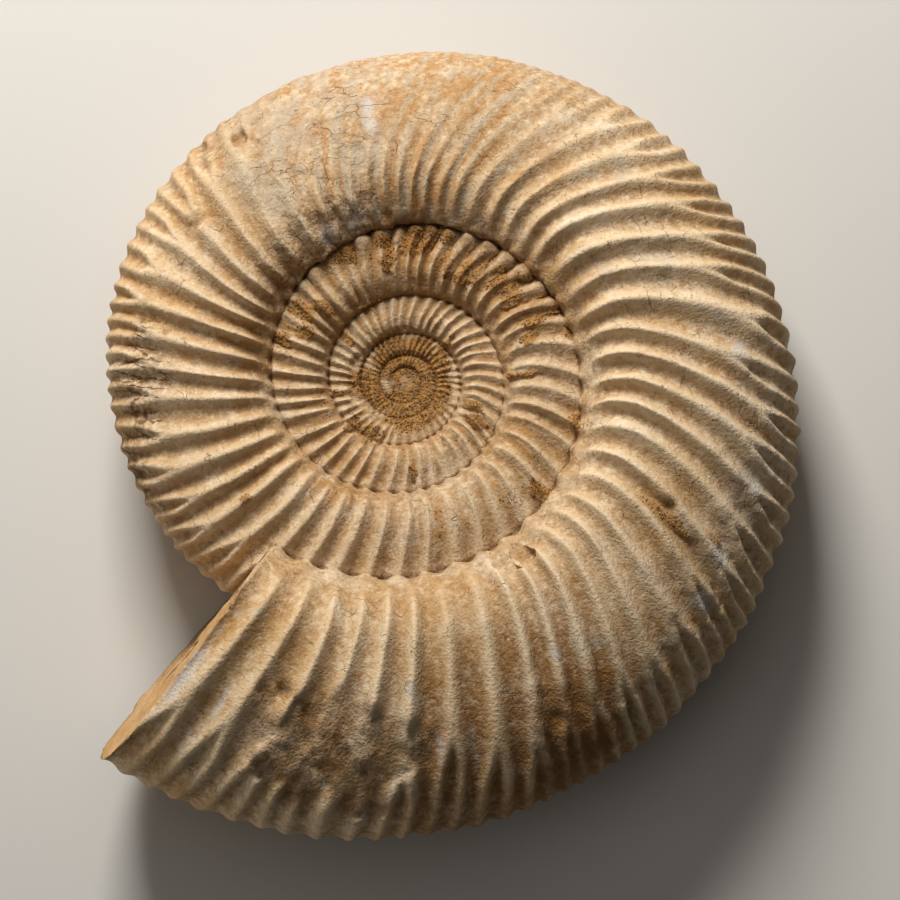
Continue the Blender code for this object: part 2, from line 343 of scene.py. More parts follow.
def coil_tree():
    """The coil: three grids of turns back and girth, bent into whorls, welded, and lifted into ribs."""
    tree = new_tree(
        "ammonite coil",
        (
            ("Aperture Radius", "NodeSocketFloat", 0.085),
            ("Growth per Turn", "NodeSocketFloat", 1.76),
            ("Half Breadth", "NodeSocketFloat", 0.235),
            ("Seam Reach", "NodeSocketFloat", 0.197),
            ("Seam Girth Angle", "NodeSocketFloat", 2.6),
            ("Covered Girth Angle", "NodeSocketFloat", 1.1),
            ("Rib Height", "NodeSocketFloat", FULL_RIB),
            ("Shoulder", "NodeSocketFloat", 0.004),
            ("Columns per Turn", "NodeSocketInt", COLUMNS_PER_TURN),
            ("Rows per Quarter", "NodeSocketInt", ROWS_PER_QUARTER),
            ("Stone", "NodeSocketMaterial", None),
        ),
        (("Geometry", "NodeSocketGeometry"),),
    )
    given = {socket.name: socket for socket in add(tree, "NodeGroupInput").outputs}
    columns, rows = given["Columns per Turn"], given["Rows per Quarter"]
    grids = add(tree, "GeometryNodeJoinGeometry")
    # Each grid's X is turns back and its Y is girth: 0 at the upper seam, 2 on the outer edge, 4 below
    for turns, first_turn, girth, first_girth in ((1, 0, 4, 0), (TURNS - 1, 1, 1, 0), (TURNS - 1, 1, 1, 3)):
        across = output(tree, "MULTIPLY_ADD", (columns, float(turns), 1.0))
        round_about = output(tree, "MULTIPLY_ADD", (rows, float(girth), 1.0))
        grid = output(tree, "GeometryNodeMeshGrid", (float(turns), float(girth), across, round_about))
        middle = (first_turn + turns / 2.0, first_girth + girth / 2.0, 0.0)
        placed = output(tree, "GeometryNodeTransform", {"Geometry": grid, "Translation": middle})
        tree.links.new(placed, grids.inputs[0])
    place = add(tree, "ShaderNodeSeparateXYZ", (output(tree, "GeometryNodeInputPosition"),)).outputs
    turns, girth = place[0], place[1]
    above = output(tree, "SUBTRACT", (2.0, girth))
    side = output(tree, "SIGN", (above,))
    from_edge = output(tree, "ABSOLUTE", (above,))
    from_seam = output(tree, "SUBTRACT", (2.0, from_edge))
    # The section is two half ellipses, narrow on the seam's side and wide on the outer side
    span = output(tree, "SUBTRACT", (given["Seam Girth Angle"], given["Covered Girth Angle"]))
    flank = output(tree, "ShaderNodeMapRange", (from_seam, 0.0, 1.0, span, 0.0))
    venter = output(tree, "ShaderNodeMapRange", (from_seam, 1.0, 2.0, given["Covered Girth Angle"], 0.0))
    angle = output(tree, "ADD", (flank, venter))
    cosine = output(tree, "COSINE", (angle,))
    outward = output(tree, "MAXIMUM", (cosine, 0.0))
    inward = output(tree, "MINIMUM", (cosine, 0.0))
    radius = output(tree, "MULTIPLY_ADD", (outward, VENTER_REACH, WIDEST_RADIUS))
    radius = output(tree, "MULTIPLY_ADD", (inward, given["Seam Reach"], radius))
    height = output(tree, "SINE", (angle,))
    height = output(tree, "MULTIPLY", (height, given["Half Breadth"]))
    height = output(tree, "MULTIPLY", (height, side))
    backward = output(tree, "MULTIPLY", (turns, -1.0))
    growth = output(tree, "POWER", (given["Growth per Turn"], backward))
    scale = output(tree, "MULTIPLY", (growth, given["Aperture Radius"]))
    # The broken aperture is twisted, its lower edge ahead of its upper
    behind_first = output(tree, "SUBTRACT", (1.0, turns))
    behind_first = output(tree, "ABSOLUTE", (behind_first,))
    from_end = output(tree, "MINIMUM", (turns, behind_first))
    inputs = (from_end, 0.0, 0.16, APERTURE_TWIST, 0.0)
    twist = output(tree, "ShaderNodeMapRange", inputs, interpolation_type="SMOOTHSTEP")
    # Past the first half turn the twist dies out at the seam, where the whorl beneath has none
    settled = output(
        tree, "ShaderNodeMapRange", (from_seam, 0.0, 1.0, 0.0, 1.0), interpolation_type="SMOOTHSTEP"
    )
    first_half = output(tree, "LESS_THAN", (turns, 0.5))
    held = output(tree, "MAXIMUM", (settled, first_half))
    twist = output(tree, "MULTIPLY", (twist, held))
    twist = output(tree, "MULTIPLY", (twist, height))
    twist = output(tree, "MULTIPLY_ADD", (twist, growth, APERTURE_ANGLE))
    round_axis = output(tree, "MULTIPLY_ADD", (turns, math.tau, twist))
    point = output(tree, "ShaderNodeCombineXYZ", (radius, 0.0, height))
    point = output(tree, "ShaderNodeVectorMath", {0: point, "Scale": scale}, operation="SCALE")
    point = output(
        tree, "ShaderNodeVectorRotate", {"Vector": point, "Angle": round_axis}, rotation_type="Z_AXIS"
    )
    # Beside the seam the surface takes the ribs of the whorl that it grew over
    ribs = rib_tree()
    own = add(tree, "GeometryNodeGroup", (turns, from_seam, given["Rib Height"]), node_tree=ribs)
    older_turns = output(tree, "ADD", (turns, 1.0))
    older = add(tree, "GeometryNodeGroup", (older_turns, 1.0, given["Rib Height"]), node_tree=ribs)
    older_lift = output(tree, "DIVIDE", (older.outputs[0], given["Growth per Turn"]))
    taken = output(
        tree, "ShaderNodeMapRange", (from_seam, 0.0, 0.2, 0.0, 1.0), interpolation_type="SMOOTHSTEP"
    )
    lift = output(tree, "ShaderNodeMix", {0: taken, 2: older_lift, 3: own.outputs[0]})
    lift = output(tree, "MULTIPLY", (lift, scale))
    # A full shoulder stands over the steep wall of the umbilicus
    wall = output(
        tree, "ShaderNodeMapRange", (from_seam, 0.0, 0.17, 0.0, 1.0), interpolation_type="SMOOTHSTEP"
    )
    flat = output(
        tree, "ShaderNodeMapRange", (from_seam, 0.2, 0.75, 1.0, 0.0), interpolation_type="SMOOTHSTEP"
    )
    shoulder = output(tree, "MULTIPLY", (wall, flat))
    shoulder = output(tree, "MULTIPLY", (shoulder, given["Shoulder"]))
    shoulder = output(tree, "MULTIPLY", (shoulder, scale))
    shaped = grids.outputs[0]
    for name, value in (("rib_lift", lift), ("rib_number", own.outputs[1]), ("shoulder", shoulder)):
        shaped = output(
            tree,
            "GeometryNodeStoreNamedAttribute",
            {"Geometry": shaped, "Name": name, "Value": value},
            data_type="FLOAT",
            domain="POINT",
        )
    shaped = output(tree, "GeometryNodeSetPosition", {"Geometry": shaped, "Position": point})
    shaped = output(tree, "GeometryNodeMergeByDistance", {"Geometry": shaped, "Distance": 4e-6})
    # The grids come out facing inwards, and the ribs have to rise outwards
    shaped = output(tree, "GeometryNodeFlipFaces", (shaped,))
    rise = [
        output(tree, "GeometryNodeInputNamedAttribute", {"Name": name}, data_type="FLOAT")
        for name in ("rib_lift", "shoulder")
    ]
    rise = output(tree, "ADD", rise)
    normal = output(tree, "GeometryNodeInputNormal")
    offset = output(tree, "ShaderNodeVectorMath", {0: normal, "Scale": rise}, operation="SCALE")
    shaped = output(tree, "GeometryNodeSetPosition", {"Geometry": shaped, "Offset": offset})
    shaped = output(tree, "GeometryNodeRealizeInstances", {"Geometry": shaped})
    shaped = output(tree, "GeometryNodeSetMaterial", {"Geometry": shaped, "Material": given["Stone"]})
    add(tree, "NodeGroupOutput", (shaped,))
    return tree


def set_inputs(modifier, values):
    """Sets a Geometry Nodes modifier's inputs by their socket identifiers."""
    for item in modifier.node_group.interface.items_tree:
        if item.item_type == "SOCKET" and item.in_out == "INPUT" and item.name in values:
            modifier[item.identifier] = values[item.name]


def evaluated_mesh(obj):
    """The object's mesh with its modifiers applied. The modifiers are taken off."""
    evaluated = obj.evaluated_get(bpy.context.evaluated_depsgraph_get())
    mesh = bpy.data.meshes.new_from_object(evaluated)
    obj.modifiers.clear()
    return mesh


def cell_numbers(cells, seed):
    """A number below 2 to the 31st for each cell of a grid, with nothing in common between neighbours."""
    x, y, z = cells.T
    mixed = (x * 73856093) ^ (y * 19349663) ^ (z * 83492791) ^ (seed * 2654435761)
    return ((mixed ^ (mixed >> 13)) * 1274126177) & 0x7FFFFFFF


def lumps(points, size, seed):
    """Smooth noise from -1 to 1 with lumps of one size, the same on every run."""
    cells = points / size
    low = np.floor(cells).astype(np.int64)
    ease = cells - low
    ease = ease * ease * (3.0 - 2.0 * ease)
    total = np.zeros(len(points))
    for corner in itertools.product((0, 1), repeat=3):
        mixed = cell_numbers(low + corner, seed)
        value = ((mixed ^ (mixed >> 15)) & 0xFFFF) / 32767.5 - 1.0
        total += value * np.prod(np.where(corner, ease, 1.0 - ease), axis=1)
    return total


def plates(points, size, seed):
    """Cracked plates of one size: a value from 0 to 1 for the nearest plate, and how far its edge is."""
    cells = points / size
    low = np.floor(cells).astype(np.int64)
    nearest = np.full(len(points), 9.0)
    second = np.full(len(points), 9.0)
    value = np.zeros(len(points))
    for corner in itertools.product((-1, 0, 1), repeat=3):
        node = low + corner
        mixed = cell_numbers(node, seed)
        shifts = np.stack([(mixed >> bits) & 0x3FF for bits in (0, 10, 20)], axis=1) / 1023.0
        away = np.linalg.norm(node + shifts - cells, axis=1)
        closer = away < nearest
        second = np.where(closer, nearest, np.minimum(second, away))
        value = np.where(closer, ((mixed >> 5) & 0xFFF) / 4095.0, value)
        nearest = np.where(closer, away, nearest)
    return value, (second - nearest) * size


def ramp(value, low, high):
    """0 at low, 1 at high, and an even ease between them. low may be the larger."""
    value = np.clip((value - low) / (high - low), 0.0, 1.0)
    return value * value * (3.0 - 2.0 * value)


def read_vertices(mesh, field="co"):
    """The vertices' places, or their normals, as rows."""
    values = np.empty(len(mesh.vertices) * 3)
    source = mesh.vertices if field == "co" else mesh.vertex_normals
    source.foreach_get(field if field == "co" else "vector", values)
    return values.reshape(-1, 3)


def read_attribute(mesh, name):
    values = np.empty(len(mesh.vertices))
    mesh.attributes[name].data.foreach_get("value", values)
    return values


def holes_of(mesh):
    """The corners of a mesh of quads, and its open edges as loops of vertex numbers."""
    loops = np.empty(len(mesh.loops), np.int64)
    mesh.loops.foreach_get("vertex_index", loops)
    corners = loops.reshape(-1, 4)
    edges = np.concatenate([corners[:, [i, (i + 1) % 4]] for i in range(4)])
    keys = edges.min(axis=1) * len(mesh.vertices) + edges.max(axis=1)
    _, index, count = np.unique(keys, return_inverse=True, return_counts=True)
    follows = {int(b): int(a) for a, b in edges[count[index] == 1]}
    holes = []
    while follows:
        start, here = follows.popitem()
        hole = [start, here]
        while here in follows:
            here = follows.pop(here)
            hole.append(here)
        holes.append(np.array(hole[:-1] if hole[0] == hole[-1] else hole))
    return corners, holes


def close_holes(mesh, radius):
    """A closed copy of the mesh: rings of faces run from each hole's rim to its middle."""
    corners, holes = holes_of(mesh)
    points = [read_vertices(mesh)]
    ribs = {name: [read_attribute(mesh, name)] for name in ("rib_lift", "rib_number")}
    quads, triangles = [corners], []
    for hole in holes:
        rim = points[0][hole]
        is_aperture = np.hypot(rim[:, 0], rim[:, 1]).max() > 0.9 * radius
        if is_aperture:
            # The aperture's rings shrink to a point well out on its face
            middle = rim[:, :2][np.argmax(np.hypot(rim[:, 0], rim[:, 1]))] * 0.8
            middle = np.array([*middle, 0.0])
        else:
            middle = np.array([0.0, 0.0, math.copysign(0.0014, rim[:, 2].mean())])
        rings = 40 if is_aperture else 10
        count = sum(len(part) for part in points)
        previous = hole
        for ring in range(1, rings):
            points.append(middle + (rim - middle) * (1.0 - ring / rings))
            for values in ribs.values():
                values.append(np.zeros(len(hole)))
            current = count + np.arange(len(hole))
            count += len(hole)
            quads.append(np.stack([previous, np.roll(previous, -1), np.roll(current, -1), current], axis=1))
            previous = current
        points.append(middle[None])
        for values in ribs.values():
            values.append(np.zeros(1))
        triangles.append(np.stack([previous, np.roll(previous, -1), np.full(len(hole), count)], axis=1))
    closed = bpy.data.meshes.new("ammonite")
    points, quads, triangles = np.concatenate(points), np.concatenate(quads), np.concatenate(triangles)
    corners = np.concatenate([quads.ravel(), triangles.ravel()])
    starts = np.concatenate([np.arange(len(quads)) * 4, len(quads) * 4 + np.arange(len(triangles)) * 3])
    closed.vertices.add(len(points))
    closed.vertices.foreach_set("co", points.ravel())
    closed.loops.add(len(corners))
    closed.loops.foreach_set("vertex_index", corners)
    closed.polygons.add(len(starts))
    closed.polygons.foreach_set("loop_start", starts)
    closed.update(calc_edges=True)
    for name, values in ribs.items():
        closed.attributes.new(name, "FLOAT", "POINT").data.foreach_set("value", np.concatenate(values))
    rounded = bmesh.new()
    rounded.from_mesh(closed)
    bmesh.ops.recalc_face_normals(rounded, faces=rounded.faces)
    rounded.to_mesh(closed)
    rounded.free()
    return closed


def coil_place(points, radius, growth):
    """Degrees back from the aperture and share of the outer radius, for points of the coil."""
    back = np.degrees(np.arctan2(points[:, 1], points[:, 0])) - math.degrees(APERTURE_ANGLE)
    back = np.mod(back, 360.0)
    share = np.maximum(np.hypot(points[:, 0], points[:, 1]), 1e-5) / (radius * growth ** (-back / 360.0))
    whorl = np.clip(np.ceil(np.log(SEAM_RADIUS / share) / math.log(growth)), 0, TURNS + 1)
    return back + 360.0 * whorl, share * growth ** whorl


def weather(mesh, radius, growth):
    """Wears, chips and cracks the coil and lays sediment on it. Stores where each thing lies on the mesh, the
    painted shade along the seams among them, and gives 1 for points of the side that shows and 0 for those of
    the side it lies on."""
    points, normals = read_vertices(mesh), read_vertices(mesh, "normal")
    count = len(points)
    rib, number = read_attribute(mesh, "rib_lift"), read_attribute(mesh, "rib_number")
    back, share = coil_place(points, radius, growth)
    # Where each point is seen from the camera, whose tilt moves high points up the picture
    seen = points[:, :2].copy()
    seen[:, 1] = points[:, 1] * math.cos(CAMERA_TILT) + points[:, 2] * math.sin(CAMERA_TILT)
    seen_back, seen_share = coil_place(seen, radius, growth)
    outer = radius * growth ** (-back / 360.0)
    upper = ramp(points[:, 2], -0.004, 0.002)
    last = (back < 360.0).astype(float)
    rib_share = rib / (FULL_RIB * outer)

    def spot(at_back, at_share, back_span, share_span, wobble, seed):
        """1 in an oval given by degrees back and share of the radius, as seen, and 0 past its ragged edge."""
        away = ((seen_back - at_back) / back_span) ** 2 + ((seen_share - at_share) / share_span) ** 2
        away = np.sqrt(away) + wobble * lumps(points, 0.0035, seed)
        return ramp(away, 1.15, 0.75) * upper

    # The face of the aperture: a break across shell and mould
    face_angle = np.degrees(np.arctan2(points[:, 1], points[:, 0])) - math.degrees(APERTURE_ANGLE)
    face_angle = (face_angle + 180.0) % 360.0 - 180.0
    forward = np.array([math.sin(APERTURE_ANGLE), -math.cos(APERTURE_ANGLE), 0.0])
    facing = normals @ forward
    cut = ((facing > 0.9) & (np.abs(face_angle) < 8.0) & (points[:, 0] < 0.0)).astype(float)

    # Broad unevenness of the stone, then its grain
    push = 0.22 * lumps(points, 0.011, 1) + 0.10 * lumps(points, 0.0042, 2) + 0.05 * lumps(points, 0.0017, 4)
    push += 0.03 * lumps(points, 0.0009, 5)

    # The broken patch by the aperture, where the ribs are lost
    broken = spot(29, 0.79, 14, 0.12, 0.5, 11)
    rough = 0.34 * lumps(points, 0.0052, 13) + 0.3 * lumps(points, 0.0024, 14)
    rough += 0.26 * lumps(points, 0.0012, 15)
    push += broken * (rough - 0.1)
    sunk = 0.9 * broken * rib

    # Brown sediment baked on beside it
    baked = spot(64, 0.88, 8.5, 0.14, 0.5, 21)
    push += baked * (0.16 * lumps(points, 0.0023, 22) + 0.12 * lumps(points, 0.0011, 23))

    # Layered, broken rib ends on the left of the last whorl
    arc = np.stack([np.radians(back) * outer, share * outer * 0.28, points[:, 2] * 0.28], axis=1)
    ends = ramp(back, 288, 302) * ramp(back, 362, 350)
    ends = ends * ramp(share + 0.05 * lumps(points, 0.006, 31), 0.77, 0.86) * last * upper
    ends = ends * ramp(lumps(points, 0.009, 32), -0.25, 0.3)
    layers = lumps(arc, 0.0012, 33)
    push += ends * (0.3 * layers - 0.1 + 0.16 * lumps(points, 0.0014, 34))

    # Crackled flakes: thin shell left standing in plates, beside the worn ribs and on the right
    flaking = ramp(back, 218, 230) * ramp(back, 268, 255) * ramp(share, 0.56, 0.66) * last * upper
    flaking = np.maximum(flaking, 0.9 * spot(105, 0.90, 34, 0.09, 0.5, 41) * last)
    flaking = np.maximum(flaking, 0.7 * spot(95, 0.80, 10, 0.09, 0.5, 42) * last)
    flaking = np.maximum(flaking, 0.8 * spot(157, 0.70, 8, 0.13, 0.5, 45) * last)
    flaking = np.maximum(flaking, 0.7 * ends)
    shell = np.zeros(count)
    for at_back, at_share, back_span, share_span in SHELL_PATCHES:
        away = np.hypot((seen_back - at_back) / back_span, (seen_share - at_share) / share_span)
        shell = np.maximum(shell, ramp(away + 0.5 * lumps(points, 0.0022, 46), 1.6, 0.1) * upper * last)
    # A lumpy crust on the inner rim of the last whorl, up and to the left of the middle
    crust = ramp(back, 218, 234) * ramp(back, 288, 266) * ramp(share, 0.64, 0.54) * last * upper
    push += crust * (0.34 * lumps(points, 0.0034, 47) + 0.26 * lumps(points, 0.0015, 48))
    value, edge = plates(points + 0.0006 * lumps(points, 0.002, 43)[:, None], 0.0034, 44)
    push += flaking * (0.26 * (value - 0.5) - 0.22 * ramp(edge, 0.0004, 0.0))

    # Seams: a groove where each whorl meets the one it grew over, open and dark along the top
    seam_back = np.where(share < 0.62, back, back - 360.0)
    seam_away = np.where(share < 0.62, share - SEAM_RADIUS, SEAM_RADIUS * growth - share) * outer
    seam_away = np.where((share >= 0.62) & (back < 360.0), 1.0, seam_away)
    open_seam = ramp(seam_back, 138, 165) * ramp(seam_back, 276, 250) * ramp(seam_back, 361, 340)
    inner_seam = ramp(seam_back, 500, 540) * ramp(seam_back, 690, 640)
    push += 0.35 * np.exp(-(seam_away / 0.0012) ** 2) * (1.0 - open_seam)
    depth = 0.2 + 0.9 * open_seam
    seam = np.exp(-(seam_away / 0.00042) ** 2)
    push -= depth * seam
    beside_seam = np.exp(-(seam_away / 0.0032) ** 2) * open_seam
    packed_seam = np.exp(-(seam_away / 0.0026) ** 2) * open_seam
    push += packed_seam * (1.3 + 0.5 * lumps(points, 0.0031, 53) + 0.3 * lumps(points, 0.0012, 54))
    # Painted shade with dirt in it: a dark band along each seam's crease, strongest where the seam is open
    # and on part of the second whorl's seam
    seam_shade_and_dirt = np.exp(-(seam_away / (0.00055 + 0.0003 * open_seam)) ** 2)
    seam_shade_and_dirt *= 0.4 + 0.6 * np.maximum(open_seam, inner_seam)

    # The torn edge of the umbilicus below the middle
    torn = spot(72, 0.475, 7, 0.035, 0.5, 51) * last
    push -= torn * (0.9 + 0.5 * lumps(points, 0.002, 52))

    # Sediment fills furrows of the inner whorls up to just under the crests
    crumbly = 0.22 * lumps(points, 0.0014, 61) + 0.16 * lumps(points, 0.0007, 62)
    fill = np.zeros(count)
    ragged = 0.6 * lumps(points, 0.0022, 63) + 0.3 * lumps(points, 0.0009, 64)
    for right, up, along, across in FURROW_FILLS:
        off = seen / MILLIMETRE - (right, up)
        outward = np.array([right, up]) / math.hypot(right, up)
        away = np.hypot(off @ outward / along, (off @ np.array([-outward[1], outward[0]])) / across)
        fill = np.maximum(fill, ramp(away + ragged, 1.2, 0.7) * upper * (back > 340.0))
    # Brown dirt clings all over the second whorl beyond the middle, and dust in many furrows
    browned = ramp(seen_back, 496, 520) * ramp(seen_back, 628, 596) * ramp(seen_share, 0.5, 0.66)
    browned = browned * ramp(lumps(points, 0.0034, 67) + 0.6 * lumps(points, 0.0014, 68), -0.55, 0.35) * upper
    dusty = ramp(lumps(points, 0.0052, 69), 0.3, 0.65) * (back > 360.0) * upper * ramp(rib_share, 0.5, 0.2)
    fill = np.maximum(fill, np.maximum(0.5 * dusty, 0.62 * browned * ramp(rib_share, 0.9, 0.3)))
    browned = np.maximum(browned, beside_seam * ramp(lumps(points, 0.0028, 70), -0.5, 0.3))
    dirty = ramp(seen_back, 36, 44) * ramp(seen_back, 84, 70) * ramp(seen_share, 0.54, 0.68) * last * upper
    browned = np.maximum(browned, dirty * ramp(rib_share, 0.75, 0.2))
    browned = np.maximum(browned, 0.42 * (back > 360.0) * upper)
    browned = np.maximum(browned, 0.22 * ramp(back, 235, 275) * last * upper)
    furrow = np.maximum(0.022 * outer - rib, 0.0) / MILLIMETRE
    push += fill * (0.7 * furrow + crumbly * ramp(outer, 0.01, 0.05))
    streak = spot(101.5, 0.72, 1.7, 0.12, 0.3, 65) * last * ramp(rib_share, 0.75, 0.4)
    push += streak * (0.5 * furrow + 0.3 * lumps(points, 0.0015, 66))

    # Pits and chips
    pitted = np.zeros(count)
    for at_back, at_share, size, deep in PITS:
        turn = math.radians(at_back) + APERTURE_ANGLE
        reach = at_share * radius * growth ** (-at_back / 360.0)
        flat = np.hypot(points[:, 0] - reach * math.cos(turn), points[:, 1] - reach * math.sin(turn))
        torn_rim = 0.55 * lumps(points, 0.0021, 71) + 0.4 * lumps(points, 0.001, 72)
        hole = ramp(flat / MILLIMETRE + torn_rim, size, 0.4 * size) * upper * last
        pitted = np.maximum(pitted, hole)
        push -= hole * deep
    points = points + normals * (push * MILLIMETRE)[:, None]
    points[:, 2] -= sunk

    # The middle of the coil is packed with sediment, through which the oldest turn just shows
    from_axis = np.hypot(points[:, 0], points[:, 1])
    side = np.sign(points[:, 2])
    packed = ramp(from_axis + 0.0012 * lumps(points, 0.003, 81), 0.0098, 0.0080)
    level = 0.00235 + 0.00035 * lumps(points, 0.003, 82) + 0.00022 * lumps(points, 0.0012, 83)
    level += 0.0001 * lumps(points, 0.0006, 84)
    lowest = np.abs(points[:, 2])
    risen = np.maximum(lowest, 0.5 * lowest + 0.5 * level)
    risen = np.minimum(risen, 0.00315 + 0.0002 * lumps(points, 0.0011, 85))
    points[:, 2] = side * (lowest + packed * (risen - lowest))
    core = ramp(from_axis + 0.0010 * lumps(points, 0.003, 81), 0.0102, 0.0084)
    core = core * ramp(lumps(points, 0.0032, 86) + 0.5 * lumps(points, 0.0013, 87), -0.75, 0.1)

    # The break at the aperture: matrix with a rough grain inside the shell's edge
    grain = 0.5 * lumps(points, 0.007, 91) + 0.3 * lumps(points, 0.0026, 92)
    grain += 0.14 * lumps(points, 0.0012, 93)
    points += forward * (cut * (grain - 0.2) * MILLIMETRE)[:, None]

    mesh.vertices.foreach_set("co", points.ravel())
    along = np.stack([number * RIB_PITCH, share * outer, points[:, 2]], axis=1)
    mesh.attributes.new("rib_space", "FLOAT_VECTOR", "POINT").data.foreach_set("vector", along.ravel())
    streaks = ramp(back, 175, 205) * ramp(back, 262, 240) * last * upper
    marks = {
        "crest": np.clip(rib_share * 1.05, 0.0, 1.0),
        "sediment": np.clip(np.maximum.reduce([fill, core, 0.75 * streak, 0.3 * baked]), 0.0, 1.0),
        "stain": np.clip(np.maximum(broken * 0.9, baked), 0.0, 1.0),
        "flakes": np.clip(flaking, 0.0, 1.0),
        "shell": shell,
        "seam_shade_and_dirt": np.clip(seam_shade_and_dirt, 0.0, 1.0) * (0.35 + 0.65 * upper),
        "pits": pitted,
        "break_face": cut,
        "streaks": streaks,
        "browned": np.clip(browned, 0.0, 1.0),
        # Painted shade and dirt in the crease of the open seam
        "open_seam": np.clip(seam_shade_and_dirt * open_seam, 0.0, 1.0),
        "layers": np.clip(np.maximum(ends, 0.5 * crust), 0.0, 1.0),
    }
    for name, values in marks.items():
        mesh.attributes.new(name, "FLOAT", "POINT").data.foreach_set("value", values)
    return upper


def paint(tree, colour, layers, patterns, paints):
    """Paints layers over a colour. A layer is its paint and what its share is the product of: a pattern's
    name, or (name, low, high) with the shares at low and high where they aren't 0 and 1."""
    for name, *terms in layers:
        share = None
        for term in terms:
            label, *span = (term,) if isinstance(term, str) else term
            value = patterns[label]
            if span:
                value = output(tree, "ShaderNodeMapRange", (value, *span))
            share = value if share is None else output(tree, "MULTIPLY", (share, value))
        inputs = {0: share, 6: colour, 7: paints[name]}
        colour = add(tree, "ShaderNodeMix", inputs, data_type="RGBA").outputs[2]
    return colour


def limestone(colours):
    """Fossil limestone, weathered and matt: cream crests, tan flanks, brown dirt, sediment and painted shade
    in the furrows, painted shade along the seams, pale grey where thin shell still clings."""
    material = bpy.data.materials.new("weathered limestone")
    material.use_nodes = True
    tree = material.node_tree
    shader = tree.nodes["Principled BSDF"]
    # Stone reflects like glass of its own index, spread wide by its grain
    shader.inputs["IOR"].default_value = 1.55
    shader.inputs["Specular IOR Level"].default_value = 0.3
    place = add(tree, "ShaderNodeTexCoord").outputs["Object"]
    patterns = {
        name: add(tree, "ShaderNodeAttribute", attribute_name=name).outputs["Fac"] for name in STONE_MARKS
    }
    for name, size, detail, shift, rough in STONE_PATTERNS:
        shifted = output(tree, "ShaderNodeVectorMath", (place, (shift, shift, shift)), operation="ADD")
        inputs = {"Vector": shifted, "Scale": 1.0 / size, "Detail": detail, "Roughness": rough}
        patterns[name] = output(tree, "ShaderNodeTexNoise", inputs)
    # Streaks along the ribs, in a space where a rib is one pitch wide in X, and Y runs along it
    rib_space = add(tree, "ShaderNodeAttribute", attribute_name="rib_space").outputs["Vector"]
    stretched = output(tree, "ShaderNodeMapping", {"Vector": rib_space, "Scale": (1.0, 0.14, 1.0)})
    inputs = {"Vector": stretched, "Scale": 1.0 / 0.0028, "Detail": 4.0, "Roughness": 0.6}
    patterns["streak"] = output(tree, "ShaderNodeTexNoise", inputs)
    # Pearly shell thins out in streaks
    pearly = output(tree, "MULTIPLY_ADD", (patterns["streak"], 1.9, patterns["shell"]))
    patterns["pearly"] = output(tree, "MULTIPLY_ADD", (patterns["fine"], 0.9, pearly))
    # Hair cracks run across the ribs and round the flakes, and dark slits between the broken layers
    bend = add(tree, "ShaderNodeTexNoise", {"Vector": place, "Scale": 600.0, "Detail": 2.0}).outputs[1]
    bend = output(tree, "ShaderNodeVectorMath", {0: bend, "Scale": 0.0012}, operation="SCALE")
    for name, stretch, width in (
        ("cracks", (0.4, 1.3, 1.0), (0.0, 0.014)),
        ("slits", (1.5, 0.3, 0.5), (0.02, 0.08)),
    ):
        cells = output(tree, "ShaderNodeMapping", {"Vector": rib_space, "Scale": stretch})
        cells = output(tree, "ShaderNodeVectorMath", (bend, cells), operation="ADD")
        inputs = {"Vector": cells, "Scale": 1.0 / CRACK_CELL}
        edges = output(tree, "ShaderNodeTexVoronoi", inputs, feature="DISTANCE_TO_EDGE")
        patterns[name] = output(tree, "ShaderNodeMapRange", (edges, *width, 1.0, 0.0))
    cracked = output(tree, "ShaderNodeMapRange", (patterns["here and there"], 0.55, 0.62, 0.0, 0.8))
    flaky = output(tree, "ShaderNodeMapRange", (patterns["medium"], 0.45, 0.6))
    flaky = output(tree, "MULTIPLY", (patterns["flakes"], flaky))
    cracked = output(tree, "MAXIMUM", (cracked, flaky))
    patterns["cracks"] = output(tree, "MULTIPLY", (patterns["cracks"], cracked))
    layered = output(tree, "ShaderNodeMapRange", (patterns["fine"], 0.4, 0.52))
    layered = output(tree, "MULTIPLY", (patterns["layers"], layered))
    patterns["slits"] = output(tree, "MULTIPLY", (patterns["slits"], layered))

    paints = {name: hex_colour(getattr(colours, name)) for name in AmmoniteColours.__annotations__}
    paints["dirt"] = paint(tree, paints["umber"], DIRT_LAYERS, patterns, paints)
    paints["matrix"] = paint(tree, paints["tan"], MATRIX_LAYERS, patterns, paints)
    colour = paint(tree, paints["cream"], STONE_LAYERS, patterns, paints)
    tree.links.new(colour, shader.inputs["Base Color"])
    rough = output(tree, "ShaderNodeMapRange", (patterns["medium"], 0.3, 0.7, 0.78, 0.95))
    tree.links.new(rough, shader.inputs["Roughness"])
    # Relief too fine for the mesh: sandy grain, small pits and the cracks, coarser on sediment
    relief = output(tree, "MULTIPLY", (patterns["fine"], 0.3))
    for name in ("speck", "streak"):
        relief = output(tree, "MULTIPLY_ADD", (patterns[name], 0.55, relief))
    coarse = output(tree, "MAXIMUM", (patterns["sediment"], patterns["stain"]))
    coarse = output(tree, "ShaderNodeMapRange", (coarse, 0.0, 1.0, 1.0, 1.5))
    relief = output(tree, "MULTIPLY", (relief, coarse))
    sunk = output(tree, "MAXIMUM", (patterns["cracks"], patterns["slits"]))
    relief = output(tree, "MULTIPLY_ADD", (sunk, -0.6, relief))
    bump = add(tree, "ShaderNodeBump", {"Strength": 1.0, "Distance": 0.00036, "Height": relief})
    tree.links.new(bump.outputs[0], shader.inputs["Normal"])
    return material


